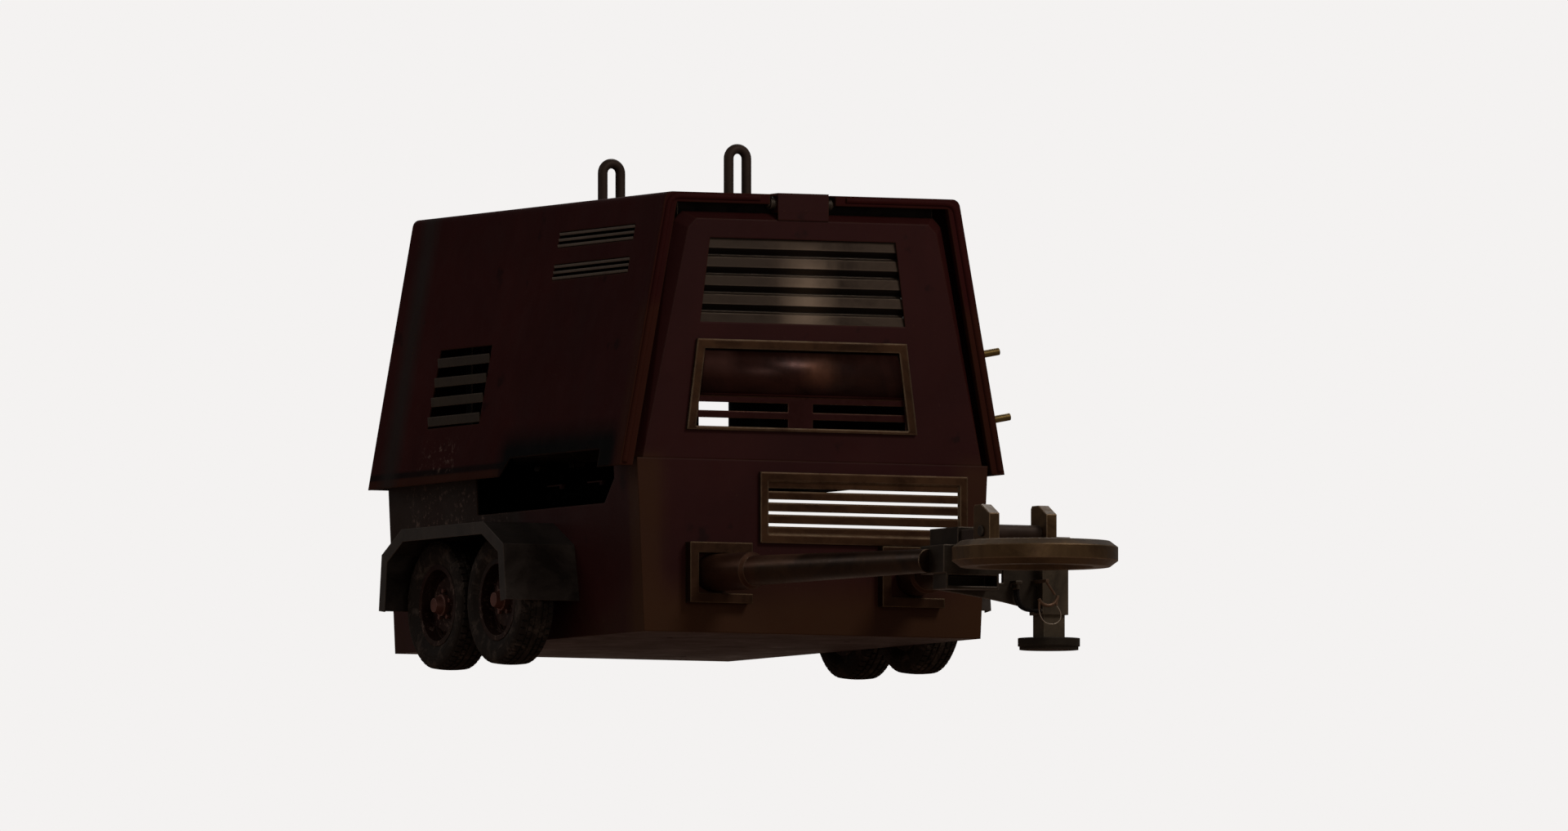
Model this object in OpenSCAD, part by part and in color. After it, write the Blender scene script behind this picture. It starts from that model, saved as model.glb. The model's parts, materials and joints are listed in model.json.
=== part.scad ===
// Towable tandem-axle compressor trailer for mines and tunnels.
// +Z is up, the drawbar points along -Y, X = 0 is the centreline and Z = 0 is the ground.

/* [Body] */
// Length of the lower tub
tub_l = 2242; // [1868:1:2700]
// Width of the lower tub
tub_w = 1516; // [1263:1:1820]
// Height of the tub floor above the ground
tub_z = 104; // [90:1:125]
// Height of the tub's top edge above the ground
tub_top = 800; // [790:1:830]
// How much each side of the tub leans out between floor and top edge
tub_flare = 32; // [0:1:40]
// Sheet thickness of the tub
tub_t = 6; // [4:0.5:8]
// Length of the niche in the tub's left wall
niche_l = 1235; // [1029:1:1300]
// Depth of the niche
niche_depth = 120; // [100:1:124]

/* [Canopy] */
// Height of the canopy's lower edge above the ground
belt_z = 767; // [750:1:780]
// Height of the roof above the ground
roof_z = 1870; // [1840:1:1960]
// How far the skirt stands outside the tub on each side
skirt_gap = 109; // [80:1:140]
// How much each side leans in between skirt and roof
roof_inset = 207; // [150:1:230]
// Sheet thickness of the canopy
canopy_t = 5; // [3:0.5:8]
// Width of the folded lip around the front opening
lip_w = 40; // [30:1:50]
// Width of the same lip at the sides
lip_side = 56; // [45:1:60]
// Radius of the roof's long edges
roof_r = 34; // [15:1:60]
// Rear overhang of the canopy past the tub
canopy_tail = 28; // [15:1:60]

/* [Front panel] */
// Sideways offset of the louvre, the window and the hinge block
panel_x = -44; // [-60:1:60]
// Depth of the panel's bevelled border
bevel_d = 50; // [30:1:60]
// Width of the panel's bevelled border
bevel_w = 45; // [30:1:60]
// Width of the hinge block
hinge_w = 228; // [180:1:280]
// Radius of the canopy hinge pin
hinge_pin_r = 12; // [8:0.5:14]

/* [Wheels] */
// Diameter of each tyre
tyre_d = 522; // [500:1:530]
// Width of each tyre
tyre_w = 157; // [130:1:170]
// Diameter of each rim's bead seat
rim_d = 305; // [290:1:330]
// Distance between the two axles
axle_gap = 540; // [535:1:560]
// Distance from the tub's front to the middle of the axle pair
axle_y = 1136; // [1100:1:1180]
// Gap between the tub's side and the middle of each tyre
wheel_out = 164; // [150:1:180]
// Radius of each axle's journal
journal_r = 20; // [16:0.5:24]

/* [Drawbar] */
// Distance from the tub's front to the tip of the tow ring
drawbar_l = 2270; // [2100:1:2700]
// Outer radius of the tow ring
ring_r = 330; // [275:1:396]
// Radial half-width of the ring's bar
ring_bar = 64; // [55:1:70]
// Half-height of the ring's bar
ring_tall = 51; // [45:1:60]
// Height of the tow ring's middle above the ground
ring_z = 344; // [335:1:355]
// Diameter of each leg's sleeve
sleeve_d = 150; // [125:1:160]
// Diameter of each leg at its thick end
leg_d = 121; // [100:1:124]
// Travel of the overrun drawtube
overrun = 60; // [40:1:80]
// Radius of the ring's pivot pin
ring_pin_r = 14; // [10:0.5:18]

/* [Jack] */
// Width of the jack's outer tube
jack_w = 115; // [100:1:125]
// Wall of the jack's outer tube
jack_t = 10; // [6:0.5:12]
// Diameter of the jack's foot
foot_d = 248; // [206:1:248]
// Distance of the jack to the right of the centreline
jack_x = 407; // [400:1:430]

/* [Fits] */
// Radial clearance of every turning fit
run_fit = 0.05; // [0.02:0.01:0.1]
// Clearance of every sliding fit on each side
slide_fit = 0.5; // [0.3:0.1:1]

/* [Hidden] */

paint = "#5a2622";
bronze = "#6b5638";
steel = "#4a4640";
rust = "#5c3a26";

tub_half = tub_w / 2;
tub_top_half = tub_half + tub_flare;
skirt_half = tub_half + skirt_gap;
roof_half = skirt_half - roof_inset;
canopy_l = tub_l + canopy_tail;
slope_a = atan(roof_inset / (roof_z - belt_z));
lip_d = 30;
lip_more = (lip_side - lip_w) / cos(slope_a);

// panel outline
panel_top_z = roof_z - lip_w - 34;
panel_top_half = roof_half - lip_w - 16;
corner_cut = 38;
panel_t = 5;

// hinge of the canopy
hinge_y = 32;
hinge_z = roof_z - 35;
hinge_d = 65;
arm_w = 22;
hinge_x0 = panel_x - hinge_w / 2;
hinge_x1 = panel_x + hinge_w / 2;

// grille, louvre and window
louvre_z0 = 1351;
louvre_z1 = 1689;
window_z0 = 917;
window_z1 = 1282;
opening_margin = 155;
opening_lean = 0.13;
bezel_w = 38;
bezel_foot = 14;
window_x = panel_x - 9;
grille_x0 = -242;
grille_x1 = 692;
grille_z0 = 468;
grille_z1 = 753;
grille_band = 35;
slot_h = 12;
slot_zs = [542, 590, 638, 683];

// niche
niche_y0 = 210;
niche_z0 = 630;
niche_corner = 95;
manifold_x = -tub_half + niche_depth - 44;
valve_ys = [520, 880];
valve_top = 712;
lever_l = 120;

// drawbar
ring_cy = -(drawbar_l - ring_r);
ring_mid = ring_r - ring_bar;
pin_z = ring_z + 96;
pin_y = ring_cy + 170;
ear_t = 45;
ear_gap = 211;
ear_top = pin_z + 107;
leg_z = 343;
leg_x0 = 455;
leg_x1 = 141;
leg_y1 = -1280;
leg_end_d = 94;
leg_a = atan((leg_x0 - leg_x1) / -leg_y1);
sleeve_l = 250;
sleeve_gap = 4;
socket_band = 38;
socket_w = 279;
socket_d = 45;
socket_x = 433;
head_half = 130;
head_y0 = -1400;
head_y1 = -1200;
head_z0 = 292;
head_z1 = 404;
tube_w = 110;
tube_h = 46;
guide_t = 12;
eye_r = 28;
eye_flat = 24;
ring_edge = 27;

// jack
jack_y = -1274;
jack_z0 = 138;
jack_z1 = 440;
foot_h = 46;
inner_w = jack_w - 2 * jack_t - 2 * slide_fit;
inner_top = 330;
gusset_t = 20;
crank_z = 395;
crank_y = jack_y + jack_w / 2;

// wheels
tyre_r = tyre_d / 2;
rim_r = rim_d / 2;
wheel_x = tub_half + wheel_out;
axle_y0 = axle_y - axle_gap / 2;
axle_y1 = axle_y + axle_gap / 2;
hub_r = 44;
hub_in = 68;
hub_out = 78;
beam_w = 70;

// fender profile, front to rear, in Y and Z
fender_out = 338;
fender_lip = 50;
fender_t = 5;
fender_pts = [[axle_y0 - 305, 248], [axle_y0 - 278, 473], [axle_y0 - 98, 569],
    [axle_y1 + 98, 569], [axle_y1 + 278, 473], [axle_y1 + 304, 248]];

// inside
rail_x = 230;
rail_w = 60;
rail_z1 = tyre_r - beam_w / 2;
engine_y0 = 1150;
engine_y1 = 1700;
engine_half = 250;
engine_z0 = 330;
engine_z1 = 940;
pulley_y = engine_y1 + 46;
crank_pulley_z = 420;
fan_z = 680;
fan_r = 290;
pulley_r = 70;
filter_x = 88;
silencer_x = min(engine_half + 212, tub_half - 205);

// lifting loops: distance of each loop from the tub's front
loop_ys = [667, tub_l - 446];
loop_w = 120;
loop_bar = 40;
loop_top = roof_z + 242;
spine_z = roof_z - 92;

// routes of the two brake-side hoses and of the safety cable
hose_pts = [[242, -1300, 236], [242, -1300, 222], [243, -1300, 208], [246, -1300, 195],
    [251, -1300, 184], [258, -1300, 174], [267, -1300, 166], [278, -1300, 160],
    [290, -1300, 156], [303, -1300, 154], [316, -1300, 153], [330, -1300, 153],
    [344, -1300, 153]];
cable_pts = [[372, -1408, 170], [381, -1408, 159], [388, -1408, 147], [391, -1408, 134],
    [390, -1408, 121], [384, -1408, 110], [374, -1408, 102], [362, -1408, 97],
    [349, -1408, 96], [336, -1408, 97], [324, -1408, 101], [314, -1408, 108],
    [306, -1408, 117], [300, -1408, 128], [296, -1408, 140], [294, -1408, 152]];
hose_d = 13;
hose_step = 22;
cable_d = 4;

// ---- helpers ----

function seg_normal(a, b) = let (d = b - a) [d[1], -d[0]] / norm(d);
function shifted(p, i, t) =
    i == 0 ? p[0] + t * seg_normal(p[0], p[1])
    : i == len(p) - 1 ? p[i] + t * seg_normal(p[i - 1], p[i])
    : let (a = seg_normal(p[i - 1], p[i]), b = seg_normal(p[i], p[i + 1]))
        p[i] + t * (a + b) / (1 + a * b);
// Closed outline of a sheet of thickness t that follows the path p
function band(p, t) = concat(p, [for (i = [len(p) - 1 : -1 : 0]) shifted(p, i, t)]);
// Points of a round of radius r at the corner b between a and c
function round_corner(a, b, c, r, n = 6) =
    let (u = (a - b) / norm(a - b), v = (c - b) / norm(c - b), h = acos(u * v) / 2,
        m = b + (u + v) / norm(u + v) * r / sin(h),
        p = b + u * r / tan(h) - m, q = b + v * r / tan(h) - m,
        a0 = atan2(p[1], p[0]), a1 = atan2(q[1], q[0]),
        da = a1 - a0 > 180 ? a1 - a0 - 360 : a1 - a0 < -180 ? a1 - a0 + 360 : a1 - a0)
    [for (i = [0 : n]) m + r * [cos(a0 + da * i / n), sin(a0 + da * i / n)]];

// Canopy path in X and Z: left skirt, roof, right skirt
function canopy_path() =
    let (a = [-skirt_half, belt_z], b = [-roof_half, roof_z], c = [roof_half, roof_z],
        d = [skirt_half, belt_z])
    concat([a], round_corner(a, b, c, roof_r), round_corner(b, c, d, roof_r), [d]);

// The same path without its rounds, drawn in by e at both sides
function canopy_corners(e) = [[-skirt_half + e, belt_z], [-roof_half + e, roof_z],
    [roof_half - e, roof_z], [skirt_half - e, belt_z]];

// Half-width of the louvre's and the window's opening at height z
function opening_half(z) =
    panel_top_half - bevel_w - opening_margin + opening_lean * (panel_top_z - z);

// Half-width of the tub's outer face at height z
function tub_half_at(z) = tub_half + tub_flare * (z - tub_z) / (tub_top - tub_z);

// Draws a shape given in X and Z, as a plate from y0 to y1
module plate_xz(y0, y1) {
    translate([0, y1, 0]) rotate([90, 0, 0]) linear_extrude(y1 - y0) children();
}

// Draws a shape given in Y and Z, from x0 to x1
module plate_yz(x0, x1) {
    translate([x0, 0, 0]) rotate([90, 0, 90]) linear_extrude(x1 - x0) children();
}

module box(a, b) {
    translate(a) cube(b - a);
}

// Cylinder along X from x0 to x1 through the point y, z
module rod_x(x0, x1, y, z, r, fn = 48) {
    translate([x0, y, z]) rotate([0, 90, 0]) cylinder(h = x1 - x0, r = r, $fn = fn);
}

// Cylinder along Y from y0 to y1 through the point x, z
module rod_y(y0, y1, x, z, r, fn = 48) {
    translate([x, y0, z]) rotate([-90, 0, 0]) cylinder(h = y1 - y0, r = r, $fn = fn);
}

// Places its children on the right canopy wall: local X is outward, local Z up the slope
module on_right() {
    translate([skirt_half, 0, belt_z]) rotate([0, -slope_a, 0]) children();
}

module on_side(s) {
    if (s > 0) on_right() children();
    else mirror([1, 0, 0]) on_right() children();
}

// Tube of diameter d along the points p, n sides
module swept_tube(p, d, n = 8) {
    count = len(p);
    function dir(i) = let (e = p[min(i + 1, count - 1)] - p[max(i - 1, 0)]) e / norm(e);
    function side(i) = let (s = cross(dir(i), [0, 1, 0.01])) s / norm(s);
    rings = [for (i = [0 : count - 1]) let (s = side(i), t = cross(dir(i), s))
        for (k = [0 : n - 1]) p[i] + d / 2 * (cos(360 * k / n) * s + sin(360 * k / n) * t)];
    walls = [for (i = [0 : count - 2], k = [0 : n - 1]) let (k2 = (k + 1) % n)
        [i * n + k, i * n + k2, (i + 1) * n + k2, (i + 1) * n + k]];
    caps = [[for (k = [n - 1 : -1 : 0]) k], [for (k = [0 : n - 1]) (count - 1) * n + k]];
    polyhedron(points = rings, faces = concat(walls, caps));
}

// ---- lower body ----

module niche_outline() {
    polygon([[niche_y0 + niche_corner, niche_z0], [niche_y0 + niche_l, niche_z0],
        [niche_y0 + niche_l, tub_top + 1], [niche_y0, tub_top + 1],
        [niche_y0, niche_z0 + niche_corner]]);
}

// Cross-section of the tub, drawn in by the sheet t and raised by e above the top edge
module tub_outline(t, e) {
    top = tub_half_at(tub_top + e) - t;
    low = tub_half - t;
    polygon([[-low, tub_z + t], [low, tub_z + t], [top, tub_top + e], [-top, tub_top + e]]);
}

module tub() color(paint) difference() {
    union() {
        difference() {
            plate_xz(0, tub_l) tub_outline(0, 0);
            plate_xz(tub_t, tub_l - tub_t) tub_outline(tub_t, 1);
        }
        plate_xz(tub_t, 130) difference() {
            tub_outline(tub_t, 0);
            translate([-tub_w, 0]) square([2 * tub_w, tub_top - 8]);
        }
    }
    plate_yz(-tub_top_half - 1, -tub_half + tub_t + 1) niche_outline();
    box([grille_x0 + grille_band, -1, grille_z0 + grille_band],
        [grille_x1 - grille_band, tub_t + 1, grille_z1 - grille_band]);
    box([tub_half - tub_t - 1, 160, 500], [tub_top_half + 1, tub_l - 260, tub_top - 30]);
    for (y = [axle_y0, axle_y1])
        box([-tub_top_half, y - beam_w / 2, tyre_r - beam_w / 2],
            [tub_top_half, y + beam_w / 2, tyre_r + beam_w / 2]);
    for (x = [-400, 400], y = [480, tub_l - 300])
        translate([x, y, tub_z - 1]) cylinder(h = tub_t + 2, r = 14, $fn = 32);
}

module niche_pan() color("#171210") {
    x0 = -tub_top_half;
    x1 = -tub_half + niche_depth;
    intersection() {
        difference() {
            box([x0, niche_y0 - 4, niche_z0 - 4], [x1, niche_y0 + niche_l + 4, tub_top]);
            box([x0 - 1, niche_y0, niche_z0], [x1 - 4, niche_y0 + niche_l, tub_top + 1]);
        }
        plate_xz(tub_t, tub_l - tub_t) tub_outline(tub_t, 0);
    }
}

module base_rails() color(steel) {
    for (s = [-1, 1])
        box([s * rail_x - rail_w / 2, 120, tub_z + tub_t],
            [s * rail_x + rail_w / 2, tub_l - 120, rail_z1]);
    for (y = [560, tub_l - 442])
        box([-rail_x + rail_w / 2, y, tub_z + tub_t], [rail_x - rail_w / 2, y + 60, rail_z1]);
}

// ---- front panel ----

// Trapezoid with cut top corners: half-width low at the tub's edge, high at the height z
module panel_outline(low, high, z) {
    polygon([[-low, tub_top], [-high, z - corner_cut], [-high + corner_cut, z],
        [high - corner_cut, z], [high, z - corner_cut], [low, tub_top]]);
}

module panel_back_outline(e = 0) {
    panel_outline(tub_top_half - e, panel_top_half - e, panel_top_z - e);
}

module panel_front_outline(e = 0) {
    panel_outline(tub_top_half - bevel_w * 0.6 - e, panel_top_half - bevel_w - e,
        panel_top_z - bevel_w * 0.7 - e);
}

// Bevelled body between the front outline at y0 and the back outline at bevel_d
module panel_body(e, y0, y1) hull() {
    plate_xz(y0, y0 + 0.5) panel_front_outline(e);
    plate_xz(y1 - 0.5, y1) panel_back_outline(e);
}

// Outline of an opening between the heights z0 and z1, drawn in by m at both sides
module opening_outline(z0, z1, m, x = panel_x) {
    a = opening_half(z0) - m;
    b = opening_half(z1) - m;
    polygon([[x - a, z0], [x - b, z1], [x + b, z1], [x + a, z0]]);
}

// The same for the window, whose rim is narrow at the foot
module window_outline(e) {
    opening_outline(window_z0 + bezel_foot + e, window_z1 - bezel_w - e, bezel_w + e, window_x);
}

module front_panel() color(paint) difference() {
    panel_body(0, 0, bevel_d);
    panel_body(panel_t, panel_t, bevel_d + 1);
    plate_xz(-1, bevel_d + 1) opening_outline(louvre_z0, louvre_z1, 0);
    plate_xz(-1, bevel_d + 1) window_outline(0);
}

// Folded slats of the upper louvre behind the panel's sheet, and the frame that holds them
module upper_louvre() color(bronze) {
    pitch = (louvre_z1 - louvre_z0) / 4.5;
    rim = 24;
    intersection() {
        union() for (i = [0 : 4]) translate([0, 0, louvre_z1 + 6 - pitch * i])
            plate_yz(-tub_half, tub_half) polygon(band([[44, 8], [panel_t + 6, -8],
                [panel_t + 3, -pitch * 0.62], [38, -pitch - 2]], -3));
        plate_xz(panel_t, 90) opening_outline(louvre_z0 - rim / 2, louvre_z1 + rim / 2, -rim / 2);
    }
    difference() {
        plate_xz(panel_t, panel_t + 12) opening_outline(louvre_z0 - rim, louvre_z1 + rim, -rim);
        plate_xz(panel_t - 1, panel_t + 13)
            opening_outline(louvre_z0 - rim / 2, louvre_z1 + rim / 2, -rim / 2);
    }
}

module window_bezel() color(bronze) difference() {
    plate_xz(-14, 0) opening_outline(window_z0, window_z1, 0, window_x);
    plate_xz(-15, 1) window_outline(0);
}

// Copper-coloured blanking plate over two rows of cooling slots
module window_plate() color("#6d3b28") {
    slot = 34;
    bar = 29;
    post = 56;
    half = opening_half(window_z0) - bezel_w - 6;
    difference() {
        plate_xz(panel_t, panel_t + 4)
            opening_outline(window_z0 + 2, window_z1 - 12, 12, window_x);
        for (s = [0, 1], row = [0, 1]) let (z = window_z0 + bezel_foot + 2 + row * (slot + bar))
            box([window_x + (s == 0 ? -half : post), panel_t - 1, z],
                [window_x + (s == 0 ? -post : half), panel_t + 5, z + slot]);
    }
    plate_xz(panel_t - 3, panel_t)
        opening_outline(window_z0 + 138, window_z1 - bezel_w - 2, bezel_w + 2, window_x);
}

module front_grille() color(bronze) difference() {
    union() {
        difference() {
            box([grille_x0, -16, grille_z0], [grille_x1, 0, grille_z1]);
            box([grille_x0 + grille_band, -17, grille_z0 + grille_band],
                [grille_x1 - grille_band, 1, grille_z1 - grille_band]);
        }
        box([grille_x0 + grille_band, -6, grille_z0 + grille_band],
            [grille_x1 - grille_band, 0, grille_z1 - grille_band]);
    }
    for (z = slot_zs)
        box([grille_x0 + grille_band + 3, -18, z - slot_h / 2],
            [grille_x1 - grille_band - 3, 1, z + slot_h / 2]);
}

module hinge_block() color(paint) difference() {
    union() {
        box([hinge_x0, 0, panel_top_z], [hinge_x1, hinge_d, roof_z + 5]);
        box([hinge_x0, -4, panel_top_z - bevel_w * 0.7 + 1], [hinge_x1, 0, roof_z + 5]);
    }
    rod_x(hinge_x0 - 1, hinge_x1 + 1, hinge_y, hinge_z, hinge_pin_r + run_fit);
}

module hinge_pin() color(steel) {
    rod_x(hinge_x0 - arm_w - 2, hinge_x1 + arm_w + 2, hinge_y, hinge_z, hinge_pin_r);
    for (x = [hinge_x0 - arm_w - 10, hinge_x1 + arm_w + 2])
        rod_x(x, x + 8, hinge_y, hinge_z, hinge_pin_r + 5);
}

// ---- drawbar ----

// Places its children with +Z along the leg's axis, from the tub's face
module along_leg(s) {
    translate([s * leg_x0, 0, leg_z]) rotate([90, 0, 0]) rotate([0, -s * leg_a, 0]) children();
}

module drawbar_sockets() color(bronze) for (s = [-1, 1]) {
    outer = sleeve_d + 2 * sleeve_gap + 2 * socket_band + 9;
    difference() {
        box([s * socket_x - socket_w / 2, -socket_d, leg_z - outer / 2],
            [s * socket_x + socket_w / 2, 0, leg_z + outer / 2]);
        box([s * socket_x - socket_w / 2 + socket_band, -socket_d - 1,
            leg_z - sleeve_d / 2 - sleeve_gap - 4],
            [s * socket_x + socket_w / 2 + 1, 1, leg_z + sleeve_d / 2 + sleeve_gap]);
    }
}

module leg(s) difference() {
    length = -leg_y1 / cos(leg_a);
    union() {
        along_leg(s) translate([0, 0, -60]) cylinder(h = sleeve_l + 60, d = sleeve_d, $fn = 72);
        along_leg(s) translate([0, 0, sleeve_l])
            cylinder(h = 14, d1 = sleeve_d, d2 = leg_d, $fn = 72);
        along_leg(s) translate([0, 0, sleeve_l])
            cylinder(h = length - sleeve_l, d1 = leg_d, d2 = leg_end_d, $fn = 72);
    }
    box([-1000, 0, 0], [1000, 200, 700]);
    box([-head_half, head_y0 - 1, 200], [head_half, head_y1, 500]);
}

module leg_left() color(bronze) leg(-1);

module leg_right() color(bronze) leg(1);

// Overrun housing: a closed box, a guide for the drawtube on top and an open channel below
module coupling_head() color(steel) {
    guide_half = tube_w / 2 + guide_t + slide_fit;
    box([-head_half, head_y0, head_z0], [head_half, head_y1, head_z1]);
    difference() {
        box([-guide_half, head_y0, head_z1],
            [guide_half, head_y1 + 40, pin_z + tube_h / 2 + slide_fit + guide_t]);
        box([-tube_w / 2 - slide_fit, head_y0 - 1, pin_z - tube_h / 2 - slide_fit],
            [tube_w / 2 + slide_fit, head_y1 + 41, pin_z + tube_h / 2 + slide_fit]);
    }
    difference() {
        box([-head_half + 12, head_y0, 228], [head_half - 12, jack_y - gusset_t / 2, head_z0]);
        box([-head_half + 20, head_y0 - 1, 240], [head_half - 20, jack_y - gusset_t / 2 - 8, head_z0 - 8]);
    }
}

module drawtube() color(rust) difference() {
    union() {
        box([-tube_w / 2, pin_y, pin_z - tube_h / 2],
            [tube_w / 2, head_y1 - overrun, pin_z + tube_h / 2]);
        rod_x(-ear_gap / 2 + 1, ear_gap / 2 - 1, pin_y, pin_z, eye_r, 64);
    }
    rod_x(-ear_gap / 2, ear_gap / 2, pin_y, pin_z, ring_pin_r + run_fit, 64);
}

// One casting: a six-sided bar bent to a ring, with two ears for the pivot pin
module tow_ring() color(bronze) difference() {
    half = ear_gap / 2 + ear_t;
    bore = ring_mid - ring_bar;
    union() {
        translate([0, ring_cy, ring_z]) rotate_extrude($fn = 128)
            polygon([[ring_r, -ring_edge], [ring_r, ring_edge], [ring_mid + ring_bar / 2, ring_tall],
                [ring_mid - ring_bar / 2, ring_tall], [bore, eye_flat], [bore, -eye_flat],
                [ring_mid - ring_bar / 2, -ring_tall], [ring_mid + ring_bar / 2, -ring_tall]]);
        for (s = [0, 1]) mirror([s, 0, 0]) plate_yz(ear_gap / 2, half)
            polygon([[pin_y - 66, ring_z], [pin_y + 70, ring_z], [pin_y + 70, ear_top - 12],
                [pin_y + 60, ear_top], [pin_y + 6, ear_top], [pin_y - 66, ear_top - 38]]);
    }
    rod_x(-half - 1, half + 1, pin_y, pin_z, ring_pin_r, 64);
    translate([0, ring_cy, ring_z - eye_flat]) cylinder(h = 2 * eye_flat, r = bore, $fn = 128);
    translate([0, ring_cy, ring_z + eye_flat])
        cylinder(h = ring_tall - eye_flat, r1 = bore, r2 = ring_mid - ring_bar / 2, $fn = 128);
}

module ring_pin() color(steel) {
    half = ear_gap / 2 + ear_t;
    rod_x(-half, half, pin_y, pin_z, ring_pin_r, 64);
    for (x = [-half - 8, half]) rod_x(x, x + 8, pin_y, pin_z, ring_pin_r + 8, 64);
}

// ---- jack ----

// Curved gusset that carries the jack beside the coupling
module jack_bracket() color(steel) {
    x1 = jack_x - jack_w / 2;
    plate_xz(jack_y - gusset_t / 2, jack_y + gusset_t / 2)
        polygon(concat([[-90, 228], [x1, 251], [x1, 143]],
            [for (i = [1 : 5]) let (u = i / 6) [x1 - u * (x1 + 90), 143 + 85 * pow(u, 0.62)]]));
    box([head_half - 12, jack_y - gusset_t / 2, 228], [x1, jack_y + gusset_t / 2, 262]);
    box([head_half + 68, jack_y - gusset_t / 2, 250], [x1, jack_y + gusset_t / 2, 335]);
}

module jack_tube() color(steel) difference() {
    w = jack_w / 2;
    union() {
        box([jack_x - w, jack_y - w, jack_z0], [jack_x + w, jack_y + w, jack_z1]);
        box([jack_x - w - 5, jack_y - w - 5, jack_z1], [jack_x + w + 5, jack_y + w + 5, jack_z1 + 8]);
        rod_y(crank_y, crank_y + 22, jack_x, crank_z, 26);
    }
    box([jack_x - w + jack_t, jack_y - w + jack_t, jack_z0 - 1],
        [jack_x + w - jack_t, jack_y + w - jack_t, jack_z1 - 8]);
    rod_y(crank_y - jack_t - 1, crank_y + 23, jack_x, crank_z, 10 + run_fit);
}

module jack_leg() color(steel) difference() {
    w = inner_w / 2;
    box([jack_x - w, jack_y - w, foot_h], [jack_x + w, jack_y + w, inner_top]);
    box([jack_x - w + 8, jack_y - w + 8, foot_h + 12], [jack_x + w - 8, jack_y + w - 8, inner_top + 1]);
}

module jack_foot() color(steel) translate([jack_x, jack_y, 0]) {
    cylinder(h = 14, d = foot_d - 12, $fn = 64);
    translate([0, 0, 14]) cylinder(h = foot_h - 14, d = foot_d, $fn = 64);
}

module jack_crank() color(steel) {
    arm = 105;
    rod_y(crank_y - jack_t, crank_y + 40, jack_x, crank_z, 10);
    rod_y(crank_y + 26, crank_y + 46, jack_x, crank_z, 18);
    box([jack_x - 12, crank_y + 46, crank_z - arm - 12], [jack_x + 12, crank_y + 56, crank_z + 20]);
    rod_y(crank_y + 56, crank_y + 136, jack_x, crank_z - arm, 13);
}

module hose_sockets() color(steel) {
    y0 = jack_y - gusset_t / 2;
    for (k = [0, 1]) translate([0, -hose_step * k, 0]) {
        translate([hose_pts[0][0], hose_pts[0][1], hose_pts[0][2]])
            cylinder(h = 22, r = 10, $fn = 32);
        translate([hose_pts[12][0], hose_pts[12][1], hose_pts[12][2]]) rotate([0, 90, 0])
            cylinder(h = jack_x - jack_w / 2 - hose_pts[12][0], r = 9, $fn = 32);
    }
    box([228, hose_pts[0][1] - 34, 258], [256, y0, 270]);
    box([228, y0 - 6, 244], [234, y0, 258]);
}

module brake_hoses() color("#14110f") for (k = [0, 1])
    swept_tube([for (p = hose_pts) p + [0, -hose_step * k, 0]], hose_d);

// Arm, pull rod and crescent hook that the safety cable hangs from
module cable_hanger() color("#8a8478") {
    y = cable_pts[0][1];
    box([322, y - 6, 262], [334, jack_y - gusset_t / 2, 274]);
    translate([328, y, 262]) rotate([0, 143, 0]) cylinder(h = 60, r = 5, $fn = 24);
    translate([333, y, 214]) rotate([90, 0, 0]) rotate([0, 0, 205])
        rotate_extrude(angle = 150, $fn = 96) translate([44, 0]) circle(r = 7, $fn = 24);
    translate([cable_pts[15][0], y, cable_pts[15][2] + 0.5]) cylinder(h = 40, r = 5, $fn = 24);
    translate([cable_pts[0][0], y, cable_pts[0][2] + 1.6]) cylinder(h = 25, r = 5, $fn = 24);
}

module safety_cable() color("#9a9488") swept_tube(cable_pts, cable_d);

// ---- running gear ----

module fender(s) mirror([s < 0 ? 1 : 0, 0, 0]) {
    difference() {
        plate_yz(tub_half, tub_half + fender_out) polygon(band(fender_pts, fender_t));
        plate_xz(0, tub_l) tub_outline(0, 0);
    }
    plate_yz(tub_half + fender_out - fender_t, tub_half + fender_out)
        polygon(band(fender_pts, fender_lip));
}

module fender_left() color(steel) fender(-1);

module fender_right() color(steel) fender(1);

// Beam that passes through the tub, with a journal for each hub
module axle(y) {
    end = wheel_x - hub_in - 2;
    box([-end, y - beam_w / 2, tyre_r - beam_w / 2], [end, y + beam_w / 2, tyre_r + beam_w / 2]);
    rod_x(-wheel_x - 50, wheel_x + 50, y, tyre_r, journal_r, 64);
}

module axles() color(steel) for (y = [axle_y0, axle_y1]) axle(y);

// Draws a wheel part whose own +Z is the outward end of the axle
module wheel_frame(s, y) {
    translate([s * wheel_x, y, tyre_r]) rotate([0, s * 90, 0]) children();
}

module tyre(s, y) color("#1c1a18") wheel_frame(s, y) rotate_extrude($fn = 96) {
    half = tyre_w / 2;
    bead = 58;
    polygon([[rim_r, -bead], [rim_r + 14, -bead], [rim_r + 26, -bead - 8],
        [rim_r + 52, -half], [tyre_r - 26, -half + 3],
        [tyre_r - 6, -half + 22], [tyre_r, -half + 38], [tyre_r, -22], [tyre_r - 7, -20],
        [tyre_r - 7, -13], [tyre_r, -11], [tyre_r, 11], [tyre_r - 7, 13], [tyre_r - 7, 20],
        [tyre_r, 22], [tyre_r, half - 38], [tyre_r - 6, half - 22], [tyre_r - 26, half - 3],
        [rim_r + 52, half], [rim_r + 26, bead + 8], [rim_r + 14, bead], [rim_r, bead]]);
}

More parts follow.
